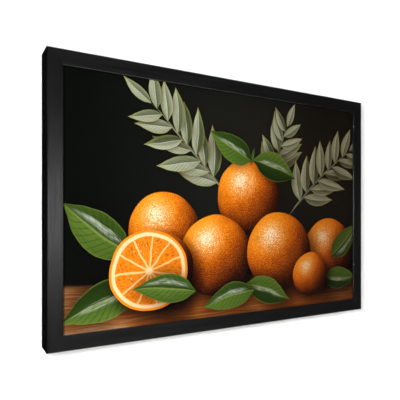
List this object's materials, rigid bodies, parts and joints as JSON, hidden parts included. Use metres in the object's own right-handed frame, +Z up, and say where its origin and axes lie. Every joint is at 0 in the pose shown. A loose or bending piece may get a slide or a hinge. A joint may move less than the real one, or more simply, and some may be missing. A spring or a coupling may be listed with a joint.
{
  "type": "framed canvas picture",
  "caption": "Landscape canvas print on a wooden stretcher, set in a deep satin black wooden frame with a rebated lip, clips and a sawtooth hanger.",
  "frame": {"origin": "where the wall's nail bears in the middle notch of the sawtooth hanger, on the plane of the wall, midway across the frame and 12 mm below its top edge", "axes": "+X to the right as seen from the front, +Y into the wall (the picture faces -Y), +Z up"},
  "size_m": [0.8, 0.055, 0.546],
  "materials": {
    "black_paint": "satin black paint over fine straight wood grain",
    "printed_canvas": null,
    "pine": "planed bare pine",
    "key_wood": "sawn bare beech",
    "zinc_plate": "zinc plated sheet steel",
    "bare_steel": "bright steel screws and nails",
    "grey_felt": "dense grey felt"
  },
  "bodies": {
    "root": {"canvas": "printed_canvas", "frame_rail_bottom": "black_paint", "frame_rail_left": "black_paint", "frame_rail_top": "black_paint", "frame_rail_right": "black_paint", "stretcher_bar_bottom": "pine", "stretcher_bar_left": "pine", "stretcher_bar_top": "pine", "stretcher_bar_right": "pine", "corner_key_bottom_left_1": "key_wood", "corner_key_bottom_left_2": "key_wood", "corner_key_top_left_1": "key_wood", "corner_key_top_left_2": "key_wood", "corner_key_top_right_1": "key_wood", "corner_key_top_right_2": "key_wood", "corner_key_bottom_right_1": "key_wood", "corner_key_bottom_right_2": "key_wood", "canvas_clip_bottom_1": "zinc_plate", "canvas_clip_bottom_2": "zinc_plate", "canvas_clip_left": "zinc_plate", "canvas_clip_top_1": "zinc_plate", "canvas_clip_top_2": "zinc_plate", "canvas_clip_right": "zinc_plate", "sawtooth_hanger": "zinc_plate", "clip_screw_bottom_1": "bare_steel", "clip_screw_bottom_2": "bare_steel", "clip_screw_left": "bare_steel", "clip_screw_top_1": "bare_steel", "clip_screw_top_2": "bare_steel", "clip_screw_right": "bare_steel", "hanger_nail_left": "bare_steel", "hanger_nail_right": "bare_steel", "v_nail_bottom_left_1": "bare_steel", "v_nail_bottom_left_2": "bare_steel", "v_nail_top_left_1": "bare_steel", "v_nail_top_left_2": "bare_steel", "v_nail_top_right_1": "bare_steel", "v_nail_top_right_2": "bare_steel", "v_nail_bottom_right_1": "bare_steel", "v_nail_bottom_right_2": "bare_steel", "wall_pad_left": "grey_felt", "wall_pad_right": "grey_felt"}
  },
  "joints": []
}
